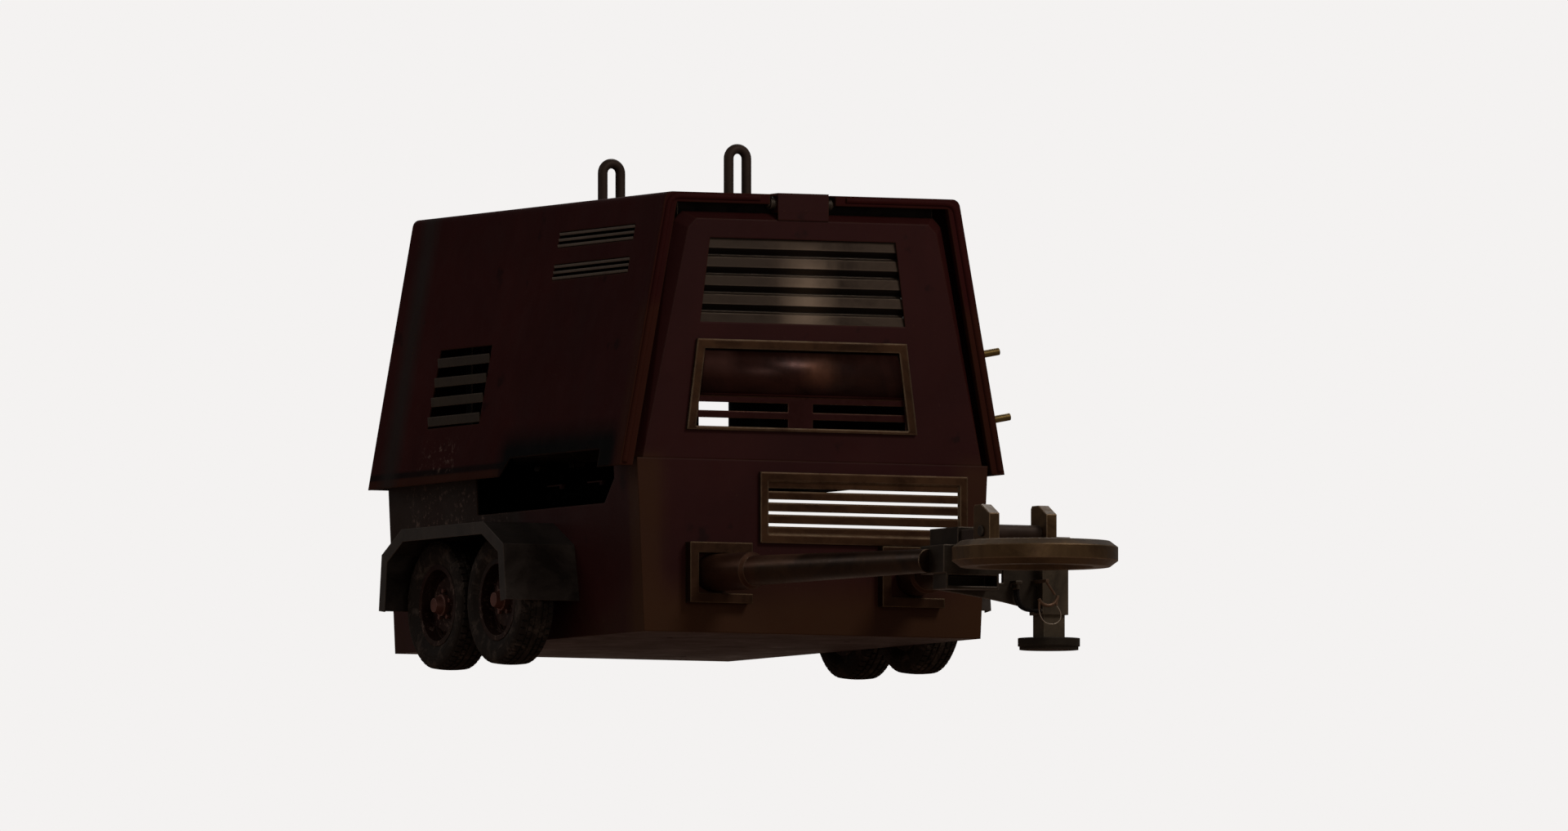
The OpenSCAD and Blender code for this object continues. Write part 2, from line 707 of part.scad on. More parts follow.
module rim(s, y) color("#5a2e22") wheel_frame(s, y) difference() {
    rotate_extrude($fn = 96) polygon([[hub_r + 1, 16], [rim_r - 50, 16], [rim_r - 22, 2],
        [rim_r - 8, 0], [rim_r - 8, -62], [rim_r + 12, -62], [rim_r + 12, -58], [rim_r, -58],
        [rim_r, 58], [rim_r + 12, 58], [rim_r + 12, 62], [rim_r - 8, 62], [rim_r - 8, 8],
        [rim_r - 20, 9], [rim_r - 48, 24], [hub_r + 1, 24]]);
    for (k = [0 : 7]) rotate([0, 0, 45 * k + 22.5]) translate([rim_r - 36, 0, -30])
        cylinder(h = 90, r = 13, $fn = 32);
}

module hub(s, y) color("#5a3a2c") wheel_frame(s, y) {
    difference() {
        union() {
            translate([0, 0, -hub_in]) cylinder(h = hub_in + 48, r = hub_r, $fn = 64);
            translate([0, 0, 2]) cylinder(h = 14, r = hub_r + 26, $fn = 64);
            translate([0, 0, 48]) cylinder(h = hub_out - 48, r1 = hub_r - 6, r2 = hub_r - 16, $fn = 64);
        }
        translate([0, 0, -hub_in - 1]) cylinder(h = hub_in + 56, r = journal_r + run_fit, $fn = 64);
    }
    for (k = [0 : 4]) rotate([0, 0, 72 * k]) translate([hub_r + 14, 0, 24])
        cylinder(h = 15, r = 9, $fn = 6);
}

module tyre_fl() tyre(-1, axle_y0);
module tyre_fr() tyre(1, axle_y0);
module tyre_rl() tyre(-1, axle_y1);
module tyre_rr() tyre(1, axle_y1);
module rim_fl() rim(-1, axle_y0);
module rim_fr() rim(1, axle_y0);
module rim_rl() rim(-1, axle_y1);
module rim_rr() rim(1, axle_y1);
module hub_fl() hub(-1, axle_y0);
module hub_fr() hub(1, axle_y0);
module hub_rl() hub(-1, axle_y1);
module hub_rr() hub(1, axle_y1);

// ---- canopy ----

louvre_y0 = 226;
louvre_l = 674;
louvre_hs = [800, 934];
louvre_h = 66;
vent_y0 = 1349;
vent_l = 466;
vent_h0 = 232;
vent_h = 325;
rear_half = 280;
rear_z0 = 900;
rear_z1 = 1500;
port_z0 = 1050;
port_h = 140;
port_w = 138;
port_x = skirt_half - roof_inset * (port_z0 + port_h - belt_z) / (roof_z - belt_z)
    - canopy_t - 10 - port_w / 2;

module canopy() color(paint) difference() {
    union() {
        plate_xz(0, canopy_l) polygon(band(canopy_path(), canopy_t));
        plate_xz(0, lip_d) difference() {
            polygon(canopy_path());
            polygon([for (i = [0 : 3]) shifted(canopy_corners(lip_more), i, lip_w)]);
        }
        plate_xz(canopy_l - canopy_t, canopy_l) polygon(canopy_path());
    }
    // roof slots that let the canopy lift clear of the fixed loops
    box([-loop_w / 2 - 14, loop_ys[0] - 34, roof_z - 30], [loop_w / 2 + 14, loop_ys[0] + 96, roof_z + 1]);
    box([-loop_w / 2 - 14, loop_ys[1] - 34, roof_z - 30], [loop_w / 2 + 14, loop_ys[1] + 60, roof_z + 1]);
    // room for the hinge block and its arms
    box([hinge_x0 - 8, -1, roof_z - lip_w - 1], [hinge_x1 + 8, hinge_d + 22, roof_z + 1]);
    box([hinge_x0 - arm_w - 12, -1, roof_z - lip_w - 1],
        [hinge_x1 + arm_w + 12, lip_d + 1, roof_z - canopy_t]);
    for (s = [-1, 1], h = louvre_hs) on_side(s)
        box([-20, louvre_y0, h], [20, louvre_y0 + louvre_l, h + louvre_h]);
    on_side(-1) box([-20, vent_y0, vent_h0], [20, vent_y0 + vent_l, vent_h0 + vent_h]);
    // notch over the niche
    on_side(-1) plate_yz(-30, 30) polygon([[niche_y0 - 4, -1], [niche_y0 - 4, 73],
        [niche_y0 + niche_l - 435, 73], [niche_y0 + niche_l - 361, -1]]);
    // discharge ports in the rear wall's corners, and the rear grille's opening
    for (s = [-1, 1]) box([s * port_x - port_w / 2, canopy_l - 20, port_z0],
        [s * port_x + port_w / 2, canopy_l + 1, port_z0 + port_h]);
    box([-rear_half, canopy_l - 20, rear_z0], [rear_half, canopy_l + 1, rear_z1]);
}

// Hinge arms: each hangs from the roof and turns on the pin beside the block
module canopy_arms() color(steel) for (x = [hinge_x0 - arm_w - 1, hinge_x1 + 1]) difference() {
    union() {
        rod_x(x, x + arm_w, hinge_y, hinge_z, 24, 64);
        box([x, hinge_y, roof_z - canopy_t - 22], [x + arm_w, hinge_y + 160, roof_z - canopy_t]);
    }
    rod_x(x - 1, x + arm_w + 1, hinge_y, hinge_z, hinge_pin_r + run_fit);
}

// A tilted slat of the side openings, y0 to y0 + l, with its foot at height h
module slat(y0, l, h, chord, tilt) {
    translate([-4, y0, h]) rotate([0, tilt, 0]) cube([3, l, chord]);
}

module side_louvres() color(bronze) for (s = [-1, 1]) on_side(s) {
    for (h = louvre_hs, k = [0 : 2]) slat(louvre_y0, louvre_l, h + 4 + 24 * k, 11, 20);
}

module side_vents() color(bronze) {
    on_side(-1) for (k = [0 : 3]) slat(vent_y0, vent_l, vent_h0 + 10 + 81 * k, 38, 14);
    for (k = [0 : 11]) translate([-rear_half, canopy_l - canopy_t - 14, rear_z0 + 4 + 50 * k])
        rotate([-34, 0, 0]) cube([2 * rear_half, 4, 46]);
}

module side_pegs() color("#8f7230") on_right() for (z = [987, 1249])
    translate([0, 65, (z - belt_z) / cos(slope_a)]) rotate([0, 90, 0]) {
        cylinder(h = 98, r = 15, $fn = 40);
        cylinder(h = 6, r = 24, $fn = 40);
    }

// ---- lifting frame ----

module lifting_frame() color(rust) {
    front_x = roof_half - 105;
    rear_x = tub_half - 138;
    rear_y = loop_ys[1];
    spine_h = 60;
    for (s = [-1, 1]) {
        box([s * front_x - 20, 70, tub_top], [s * front_x + 20, 120, spine_z]);
        box([s * rear_x - 25, rear_y - 25, tub_z + tub_t], [s * rear_x + 25, rear_y + 25, spine_z]);
    }
    box([-front_x - 20, 70, spine_z], [front_x + 20, 120, spine_z + spine_h]);
    box([-rear_x - 25, rear_y - 25, spine_z], [rear_x + 25, rear_y + 25, spine_z + spine_h]);
    box([-30, 120, spine_z], [30, rear_y - 25, spine_z + spine_h]);
    for (y = loop_ys) {
        r = loop_w / 2 - loop_bar / 2;
        for (s = [-1, 1]) translate([s * r, y, spine_z + spine_h - 1])
            cylinder(h = loop_top - loop_w / 2 - spine_z - spine_h + 1, d = loop_bar, $fn = 40);
        translate([0, y, loop_top - loop_w / 2]) rotate([90, 0, 0])
            rotate_extrude(angle = 180, $fn = 64) translate([r, 0]) circle(d = loop_bar, $fn = 40);
        box([-loop_w / 2, y - 25, spine_z + spine_h - 8], [loop_w / 2, y + 25, spine_z + spine_h]);
    }
}

// ---- machinery ----

module engine() color("#3d3a36") {
    difference() {
        box([-engine_half + 60, engine_y0, engine_z0], [engine_half - 60, engine_y1, engine_z1 - 120]);
        rod_y(engine_y1 - 60, engine_y1 + 1, 0, crank_pulley_z, 22 + run_fit);
        rod_y(engine_y1 - 60, engine_y1 + 1, 0, fan_z, 16 + run_fit);
    }
    box([-engine_half, engine_y0 + 40, engine_z1 - 120], [engine_half - 60, engine_y1 - 40, engine_z1]);
    for (k = [0 : 3]) rod_x(-engine_half, -engine_half + 60, engine_y0 + 110 + 110 * k, 720, 30, 32);
    for (s = [-1, 1], y = [engine_y0 + 20, engine_y1 - 80])
        box([s * rail_x - 30, y, rail_z1], [s * rail_x + 30, y + 60, engine_z0 + 40]);
    for (s = [-1, 1], y = [engine_y0 + 20, engine_y1 - 80])
        box([s * 195 - 10, y, engine_z0 + 10], [s * 195 + 10, y + 60, engine_z0 + 40]);
}

module airend() color("#4b3a33") {
    rod_y(engine_y0 - 80, engine_y0, -70, 470, 150, 72);
    rod_y(engine_y0 - 560, engine_y0 - 80, -120, 500, 105, 72);
    rod_y(engine_y0 - 520, engine_y0 - 80, -20, 440, 85, 72);
    box([-150, engine_y0 - 400, rail_z1], [-10, engine_y0 - 330, 380]);
    box([-260, engine_y0 - 400, rail_z1], [260, engine_y0 - 330, rail_z1 + 24]);
    translate([filter_x, engine_y0 - 480, 500]) cylinder(h = 290, r = 34, $fn = 48);
    rod_x(-60, filter_x + 20, engine_y0 - 480, 500, 34);
}

module separator_tank() color(paint) {
    outer = tub_half - niche_depth - 12;
    r = min(170, (outer - rail_x - rail_w / 2 - 8) / 2);
    x = r - outer;
    translate([x, 420, 0]) {
        translate([0, 0, tub_z + tub_t]) cylinder(h = 60, r = r - 20, $fn = 72);
        translate([0, 0, tub_z + tub_t + 60]) cylinder(h = 640, r = r, $fn = 72);
        translate([0, 0, tub_z + tub_t + 700]) cylinder(h = 50, r1 = r, r2 = r - 70, $fn = 72);
        translate([0, 0, tub_z + tub_t + 750]) cylinder(h = 40, r = 60, $fn = 48);
    }
}

module radiator() color("#2a2a2a") {
    y0 = tub_l - 330;
    difference() {
        box([-420, y0, 250], [420, y0 + 90, 1040]);
        for (k = [0 : 13]) box([-390, y0 - 1, 300 + 50 * k], [390, y0 + 14, 336 + 50 * k]);
    }
    difference() {
        box([-400, y0 - 50, 290], [400, y0, 1020]);
        rod_y(y0 - 51, y0 + 1, 0, fan_z, fan_r + 15, 96);
    }
    for (s = [-1, 1]) box([s * 340 - 40, y0 + 10, tub_z + tub_t], [s * 340 + 40, y0 + 80, 250]);
}

module fan() color("#30302e") {
    rod_y(engine_y1 - 58, pulley_y + 12, 0, fan_z, 16);
    rod_y(pulley_y - 12, pulley_y + 12, 0, fan_z, pulley_r, 72);
    rod_y(pulley_y + 12, tub_l - 350, 0, fan_z, 48, 64);
    for (k = [0 : 6]) translate([0, tub_l - 358, fan_z]) rotate([0, k * 360 / 7, 0])
        translate([40, 0, 0]) rotate([24, 0, 0])
            translate([0, -3, -42]) cube([fan_r - 40, 6, 84]);
}

module crank_pulley() color("#3a3734") {
    rod_y(engine_y1 - 58, pulley_y - 12, 0, crank_pulley_z, 22);
    rod_y(pulley_y - 12, pulley_y + 12, 0, crank_pulley_z, pulley_r, 72);
}

// Flat belt round both pulleys, a hair clear of each
module fan_belt() color("#14110f") {
    gap = 0.35;
    plate_xz(pulley_y - 9, pulley_y + 9) difference() {
        union() {
            for (z = [crank_pulley_z, fan_z]) translate([0, z]) circle(r = pulley_r + gap + 6, $fn = 72);
            translate([-pulley_r - gap - 6, crank_pulley_z])
                square([2 * (pulley_r + gap + 6), fan_z - crank_pulley_z]);
        }
        for (z = [crank_pulley_z, fan_z]) translate([0, z]) circle(r = pulley_r + gap, $fn = 72);
        translate([-pulley_r - gap, crank_pulley_z])
            square([2 * (pulley_r + gap), fan_z - crank_pulley_z]);
    }
}

module fuel_tank() color("#2e2c29") {
    x0 = rail_x + rail_w / 2 + 20;
    box([x0, axle_y0 + 50, tub_z + tub_t], [tub_half - tub_t - 24, axle_y1 - 50, 480]);
    translate([tub_half - 120, axle_y, 480]) cylinder(h = 24, r = 45, $fn = 40);
}

module air_filter() color("#26231f") translate([filter_x, engine_y0 - 480, 0]) {
    translate([0, 0, 790]) cylinder(h = 30, r1 = 60, r2 = 110, $fn = 72);
    translate([0, 0, 820]) cylinder(h = 400, r = 110, $fn = 72);
    translate([0, 0, 1220]) cylinder(h = 22, r = 116, $fn = 72);
    translate([0, 0, 1242]) cylinder(h = 60, r = 42, $fn = 48);
}

module silencer() color(rust) {
    x = -silencer_x;
    rod_y(engine_y0 - 60, engine_y1 - 80, x, 930, 95, 72);
    rod_y(engine_y1 - 80, tub_l - 60, x, 930, 32, 48);
    for (y = [engine_y0 + 20, engine_y1 - 220])
        box([x - 25, y, tub_z + tub_t], [x + 25, y + 40, 840]);
}

// Air outlets in the niche: a header pipe and two ball valves that point outwards
module outlet_manifold() color(rust) {
    x = manifold_x;
    z = valve_top - 32;
    rod_y(niche_y0 + 160, niche_y0 + 860, x, z, 20);
    for (y = valve_ys) {
        box([x - 30, y - 30, z - 30], [x + 30, y + 30, valve_top]);
        rod_x(x - 62, x - 30, y, z, 19);
        translate([x, y, niche_z0]) cylinder(h = z - 30 - niche_z0, r = 16, $fn = 32);
    }
}

module valve_lever(y) color("#7a2018") {
    translate([manifold_x, y, valve_top + 0.4]) cylinder(h = 14, r = 12, $fn = 40);
    box([manifold_x - 9, y - 12, valve_top + 14], [manifold_x + 9, y + lever_l, valve_top + 20]);
}

module valve_lever_front() valve_lever(valve_ys[0]);

module valve_lever_rear() valve_lever(valve_ys[1]);

tub();
niche_pan();
base_rails();
front_panel();
upper_louvre();
window_bezel();
window_plate();
front_grille();
hinge_block();
hinge_pin();
drawbar_sockets();
leg_left();
leg_right();
coupling_head();
drawtube();
tow_ring();
ring_pin();
jack_bracket();
jack_tube();
jack_leg();
jack_foot();
jack_crank();
hose_sockets();
brake_hoses();
cable_hanger();
safety_cable();
fender_left();
fender_right();
axles();
tyre_fl();
tyre_fr();
tyre_rl();
tyre_rr();
rim_fl();
rim_fr();
rim_rl();
rim_rr();
hub_fl();
hub_fr();
hub_rl();
hub_rr();
canopy();
canopy_arms();
side_louvres();
side_vents();
side_pegs();
lifting_frame();
engine();
airend();
separator_tank();
radiator();
fan();
crank_pulley();
fan_belt();
fuel_tank();
air_filter();
silencer();
outlet_manifold();
valve_lever_front();
valve_lever_rear();
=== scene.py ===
import json
import math

import bpy
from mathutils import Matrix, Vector


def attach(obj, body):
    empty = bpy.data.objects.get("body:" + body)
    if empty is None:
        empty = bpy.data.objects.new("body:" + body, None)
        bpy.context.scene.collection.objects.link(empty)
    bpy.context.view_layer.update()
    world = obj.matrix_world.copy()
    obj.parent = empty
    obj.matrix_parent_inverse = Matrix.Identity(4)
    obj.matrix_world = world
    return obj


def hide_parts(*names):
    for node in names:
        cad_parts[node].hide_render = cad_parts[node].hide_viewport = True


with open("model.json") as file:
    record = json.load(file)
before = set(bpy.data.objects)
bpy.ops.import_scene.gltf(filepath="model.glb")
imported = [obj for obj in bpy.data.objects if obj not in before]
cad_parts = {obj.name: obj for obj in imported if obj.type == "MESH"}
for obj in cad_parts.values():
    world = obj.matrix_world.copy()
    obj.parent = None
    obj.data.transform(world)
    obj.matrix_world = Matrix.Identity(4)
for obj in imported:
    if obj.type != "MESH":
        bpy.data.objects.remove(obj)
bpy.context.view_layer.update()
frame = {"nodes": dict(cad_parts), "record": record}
nodes = frame["nodes"]


def srgb(r, g, b):
    """Linear colour of an 8-bit sRGB colour."""
    def one(c):
        c /= 255
        return c / 12.92 if c <= 0.04045 else ((c + 0.055) / 1.055) ** 2.4
    return (one(r), one(g), one(b), 1.0)


# ---- camera, lights and floor ----

VIEW_AZ, VIEW_EL = math.radians(-27.0), math.radians(-3.0)
VIEW_AIM = Vector((0.0, 0.254, 0.997))
VIEW_DISTANCE = 150.6
LENS = 860.0


def direction(az, el):
    """Unit vector from the object towards a viewer at that azimuth and elevation."""
    return Vector((math.sin(az) * math.cos(el), -math.cos(az) * math.cos(el), math.sin(el)))


def make_camera():
    """A long lens from the front left, a little below the floor's level."""
    data = bpy.data.cameras.new("camera")
    data.lens = LENS
    data.sensor_width = 36.0
    data.clip_start, data.clip_end = 1.0, 1000.0
    cam = bpy.data.objects.new("camera", data)
    bpy.context.collection.objects.link(cam)
    back = direction(VIEW_AZ, VIEW_EL)
    cam.location = VIEW_AIM + back * VIEW_DISTANCE
    cam.rotation_mode = "QUATERNION"
    cam.rotation_quaternion = (-back).to_track_quat("-Z", "Y")
    bpy.context.scene.camera = cam


def area_light(name, az, el, distance, size, watts, colour):
    """A round light that faces the object from that azimuth and elevation in degrees."""
    data = bpy.data.lights.new(name, "AREA")
    data.shape = "DISK"
    data.size = size
    data.energy = watts
    data.color = colour
    light = bpy.data.objects.new(name, data)
    bpy.context.collection.objects.link(light)
    back = direction(math.radians(az), math.radians(el))
    light.location = VIEW_AIM + back * distance
    light.rotation_mode = "QUATERNION"
    light.rotation_quaternion = (-back).to_track_quat("-Z", "Y")


SOFT_LIGHT = 0.13


def make_world():
    """Dim even light on the object, in front of a pale backdrop."""
    world = bpy.data.worlds.new("studio")
    world.use_nodes = True
    tree = world.node_tree
    tree.nodes.clear()
    out = tree.nodes.new("ShaderNodeOutputWorld")
    mix = tree.nodes.new("ShaderNodeMixShader")
    path = tree.nodes.new("ShaderNodeLightPath")
    soft = tree.nodes.new("ShaderNodeBackground")
    pale = tree.nodes.new("ShaderNodeBackground")
    soft.inputs["Color"].default_value = (1.0, 0.97, 0.93, 1.0)
    soft.inputs["Strength"].default_value = SOFT_LIGHT
    pale.inputs["Color"].default_value = srgb(244, 242, 241)
    tree.links.new(path.outputs["Is Camera Ray"], mix.inputs[0])
    tree.links.new(soft.outputs[0], mix.inputs[1])
    tree.links.new(pale.outputs[0], mix.inputs[2])
    tree.links.new(mix.outputs[0], out.inputs["Surface"])
    bpy.context.scene.world = world


def floor_shader(tree, colour, glow_colour, strength):
    """A diffuse surface with a little light of its own."""
    base = tree.nodes.new("ShaderNodeBsdfDiffuse")
    glow = tree.nodes.new("ShaderNodeEmission")
    add = tree.nodes.new("ShaderNodeAddShader")
    base.inputs["Color"].default_value = colour
    glow.inputs["Color"].default_value = glow_colour
    glow.inputs["Strength"].default_value = strength
    tree.links.new(base.outputs[0], add.inputs[0])
    tree.links.new(glow.outputs[0], add.inputs[1])
    return add.outputs[0]


FLOOR_HALF, FLOOR_Z = 40.0, -0.001
FLOOR_GLOW, BOUNCE_GLOW = 0.42, 0.10


def make_floor():
    """A pale floor, clear from below because the camera looks up from beneath its level."""
    mesh = bpy.data.meshes.new("floor")
    corners = ((-1, -1), (1, -1), (1, 1), (-1, 1))
    mesh.from_pydata([(x * FLOOR_HALF, y * FLOOR_HALF, FLOOR_Z) for x, y in corners], [],
                     [(0, 1, 2, 3)])
    floor = bpy.data.objects.new("floor", mesh)
    bpy.context.collection.objects.link(floor)
    mat = bpy.data.materials.new("floor")
    mat.use_nodes = True
    tree = mat.node_tree
    tree.nodes.clear()
    out = tree.nodes.new("ShaderNodeOutputMaterial")
    mix = tree.nodes.new("ShaderNodeMixShader")
    geo = tree.nodes.new("ShaderNodeNewGeometry")
    seen = tree.nodes.new("ShaderNodeLightPath")
    pick = tree.nodes.new("ShaderNodeMixShader")
    clear = tree.nodes.new("ShaderNodeBsdfTransparent")
    shown = floor_shader(tree, (0.80, 0.79, 0.78, 1.0), (0.9, 0.89, 0.88, 1.0),
                         FLOOR_GLOW)
    bounce = floor_shader(tree, (0.16, 0.14, 0.12, 1.0), (1.0, 0.62, 0.46, 1.0),
                          BOUNCE_GLOW)
    tree.links.new(seen.outputs["Is Camera Ray"], pick.inputs[0])
    tree.links.new(bounce, pick.inputs[1])
    tree.links.new(shown, pick.inputs[2])
    tree.links.new(geo.outputs["Backfacing"], mix.inputs[0])
    tree.links.new(pick.outputs[0], mix.inputs[1])
    tree.links.new(clear.outputs[0], mix.inputs[2])
    tree.links.new(mix.outputs[0], out.inputs["Surface"])
    mesh.materials.append(mat)


make_camera()
make_world()
make_floor()
area_light("key", 25, 38, 9.0, 3.0, 235, (1.0, 0.96, 0.92))
area_light("front_fill", -16, 6, 11.0, 4.0, 90, (1.0, 0.95, 0.9))
area_light("left_rim", -115, 30, 9.0, 4.0, 75, (0.97, 0.97, 1.0))
area_light("back", 145, 40, 10.0, 5.0, 300, (1.0, 0.98, 0.95))
area_light("rear_fill", 150, 8, 11.0, 3.0, 150, (1.0, 0.97, 0.94))
bpy.context.scene.view_settings.view_transform = "Standard"

# ---- tubes and hoses ----

def tube_curve(name, points, diameter, material):
    """A smooth round tube along the points, as a curve of one open spline."""
    curve = bpy.data.curves.new(name, "CURVE")
    curve.dimensions = "3D"
    curve.bevel_depth = diameter / 2
    curve.bevel_resolution = 4
    curve.use_fill_caps = True
    spline = curve.splines.new("POLY")
    spline.points.add(len(points) - 1)
    for p, co in zip(spline.points, points):
        p.co = (*co, 1.0)
    spline.use_smooth = True
    curve.materials.append(material)
    obj = bpy.data.objects.new(name, curve)
    bpy.context.collection.objects.link(obj)
    return obj


def smooth_route(points, steps=4):
    """Catmull-Rom points through the route."""
    p = [Vector(q) for q in points]
    p = [2 * p[0] - p[1]] + p + [2 * p[-1] - p[-2]]
    out = []
    for i in range(1, len(p) - 2):
        a, b, c, d = p[i - 1:i + 3]
        for k in range(steps):
            t = k / steps
            out.append(0.5 * (2 * b + (c - a) * t + (2 * a - 5 * b + 4 * c - d) * t * t
                              + (3 * b - a - 3 * c + d) * t ** 3))
    return out + [p[-2]]


# ---- materials ----

class Graph:
    """A material under construction: object coordinates in, one Principled shader out."""

    def __init__(self, name, metallic=0.0, specular=0.35, bevel=0.006):
        self.mat = bpy.data.materials.new(name)
        self.mat.use_nodes = True
        self.tree = self.mat.node_tree
        self.tree.nodes.clear()
        self.out = self.node("ShaderNodeOutputMaterial")
        self.bsdf = self.node("ShaderNodeBsdfPrincipled")
        self.join(self.bsdf.outputs[0], self.out.inputs["Surface"])
        self.bsdf.inputs["Metallic"].default_value = metallic
        self.bsdf.inputs["Specular IOR Level"].default_value = specular
        self.where = self.node("ShaderNodeTexCoord").outputs["Object"]
        self.geo = self.node("ShaderNodeNewGeometry")
        self.round = self.node("ShaderNodeBevel")
        self.round.samples = 4
        self.round.inputs["Radius"].default_value = bevel

    def node(self, kind):
        return self.tree.nodes.new(kind)

    def join(self, a, b):
        self.tree.links.new(a, b)

    def put(self, socket, value):
        """A plain value is set on the socket, and anything else is linked to it."""
        if isinstance(value, (int, float, tuple)):
            socket.default_value = value
        else:
            self.join(value, socket)

    def noise(self, scale, detail=4.0, rough=0.55, stretch=(1, 1, 1), shift=0.0, warp=0.0):
        mapping = self.node("ShaderNodeMapping")
        mapping.inputs["Scale"].default_value = stretch
        mapping.inputs["Location"].default_value = (shift, shift * 0.7, shift * 1.3)
        self.join(self.where, mapping.inputs["Vector"])
        n = self.node("ShaderNodeTexNoise")
        n.inputs["Scale"].default_value = scale
        n.inputs["Detail"].default_value = detail
        n.inputs["Roughness"].default_value = rough
        n.inputs["Distortion"].default_value = warp
        self.join(mapping.outputs[0], n.inputs["Vector"])
        return n.outputs["Fac"]

    def ramp(self, value, lo, hi, a=0.0, b=1.0):
        n = self.node("ShaderNodeMapRange")
        n.inputs["From Min"].default_value = lo
        n.inputs["From Max"].default_value = hi
        n.inputs["To Min"].default_value = a
        n.inputs["To Max"].default_value = b
        self.join(value, n.inputs["Value"])
        return n.outputs[0]

    def maths(self, op, a, b=0.0):
        n = self.node("ShaderNodeMath")
        n.operation = op
        self.put(n.inputs[0], a)
        self.put(n.inputs[1], b)
        return n.outputs[0]

    def mix(self, fac, a, b):
        n = self.node("ShaderNodeMix")
        n.data_type = "RGBA"
        self.put(n.inputs["Factor"], fac)
        self.put(n.inputs[6], a)
        self.put(n.inputs[7], b)
        return n.outputs[2]

    def axis(self, letter):
        n = self.node("ShaderNodeSeparateXYZ")
        self.join(self.where, n.inputs[0])
        return n.outputs[letter]

    def band(self, value, lo, hi, soft):
        """1 between lo and hi, fading to 0 over the width soft on both sides."""
        return self.maths("MULTIPLY", self.ramp(value, lo - soft, lo),
                          self.ramp(value, hi + soft, hi))

    def zone(self, x=None, y=None, z=None, soft=0.06):
        """1 inside a soft box; each side is None or a pair of limits."""
        mask = 1.0
        for letter, span in (("X", x), ("Y", y), ("Z", z)):
            if span:
                mask = self.maths("MULTIPLY", mask, self.band(self.axis(letter), *span, soft))
        return mask

    def edges(self, lo=0.02, hi=0.25):
        """1 near convex and concave edges, 0 on flat faces."""
        dot = self.node("ShaderNodeVectorMath")
        dot.operation = "DOT_PRODUCT"
        self.join(self.round.outputs[0], dot.inputs[0])
        self.join(self.geo.outputs["Normal"], dot.inputs[1])
        return self.ramp(self.maths("SUBTRACT", 1.0, dot.outputs["Value"]), lo, hi)

    def facing_down_shade(self, lo=0.1, hi=0.45):
        """1 on faces that look at the ground, for painting shade on undersides."""
        n = self.node("ShaderNodeSeparateXYZ")
        self.join(self.geo.outputs["Normal"], n.inputs[0])
        return self.ramp(n.outputs["Z"], -lo, -hi)

    def finish(self, colour, rough, heights=()):
        """Sets colour and roughness, and stacks bumps given as (height, strength, distance)."""
        self.put(self.bsdf.inputs["Base Color"], colour)
        self.put(self.bsdf.inputs["Roughness"], rough)
        normal = self.round.outputs[0]
        for value, strength, distance in heights:
            bump = self.node("ShaderNodeBump")
            bump.inputs["Strength"].default_value = strength
            bump.inputs["Distance"].default_value = distance
            self.join(value, bump.inputs["Height"])
            self.join(normal, bump.inputs["Normal"])
            normal = bump.outputs[0]
        self.join(normal, self.bsdf.inputs["Normal"])
        return self.mat


def worn_paint(name, base, deep, edge, dirt, dirt_top=0.55, chips=0.62, bevel=0.01,
               streaks=0.5, metallic=0.0, rough=(0.42, 0.62), specular=0.1, zones=(),
               flakes=()):
    """Old paint: cloudy colour, streaks down the walls, bare edges, chips and dirt low down."""
    g = Graph(name, metallic=metallic, specular=specular, bevel=bevel)
    cloud = g.noise(1.7, 5, 0.6, warp=0.6)
    streak = g.noise(9.0, 4, 0.6, (1, 1, 0.12), 3.0)
    fine = g.noise(60.0, 6, 0.7)
    grime = g.noise(5.5, 7, 0.72, shift=11.0, warp=0.4)
    colour = g.mix(g.ramp(cloud, 0.32, 0.68), deep, base)
    colour = g.mix(g.ramp(streak, 0.45, 0.75, 0.0, streaks), colour, deep)
    low = g.ramp(g.axis("Z"), dirt_top, 0.05)
    blot = g.ramp(g.noise(6.5, 3, 0.5, shift=21.0), 0.66, 0.72, 0.0, 0.45)
    colour = g.mix(blot, colour, SOOT_AND_SHADE)
    smear = g.maths("MULTIPLY", low, g.ramp(grime, 0.38, 0.62))
    colour = g.mix(g.maths("MULTIPLY", smear, 0.8), colour, dirt)
    # Zones lay colour tints over the paint, and also painted shade and painted sheen.
    for span, tint_and_light, amount in zones:
        patch = g.maths("MULTIPLY", g.zone(**span), g.ramp(cloud, 0.25, 0.5, 0.7, 1.0))
        colour = g.mix(g.maths("MULTIPLY", patch, amount), colour, tint_and_light)
    rub = g.maths("MULTIPLY", g.edges(), g.ramp(grime, 0.3, 0.6))
    colour = g.mix(g.maths("MULTIPLY", rub, 0.85), colour, edge)
    speck = g.maths("MULTIPLY", g.ramp(fine, chips, chips + 0.03), g.ramp(grime, 0.5, 0.66))
    colour = g.mix(g.maths("MULTIPLY", speck, 0.6), colour, edge)
    for span in flakes:
        bare = g.maths("MULTIPLY", g.zone(**span), g.ramp(g.noise(34.0, 8, 0.8, shift=2.0),
                                                           0.56, 0.60))
        colour = g.mix(g.maths("MULTIPLY", bare, 0.6), colour, FLAKE)
    roughness = g.ramp(grime, 0.3, 0.7, rough[0], rough[1])
    scratch = g.noise(14.0, 5, 0.75, (1.0, 1.0, 7.0), 5.0, 0.8)
    dent = g.noise(3.2, 2, 0.4, shift=8.0)
    return g.finish(colour, roughness,
                    [(dent, 0.25, 0.012), (grime, 0.16, 0.004), (scratch, 0.12, 0.002),
                     (speck, 0.35, -0.0008)])


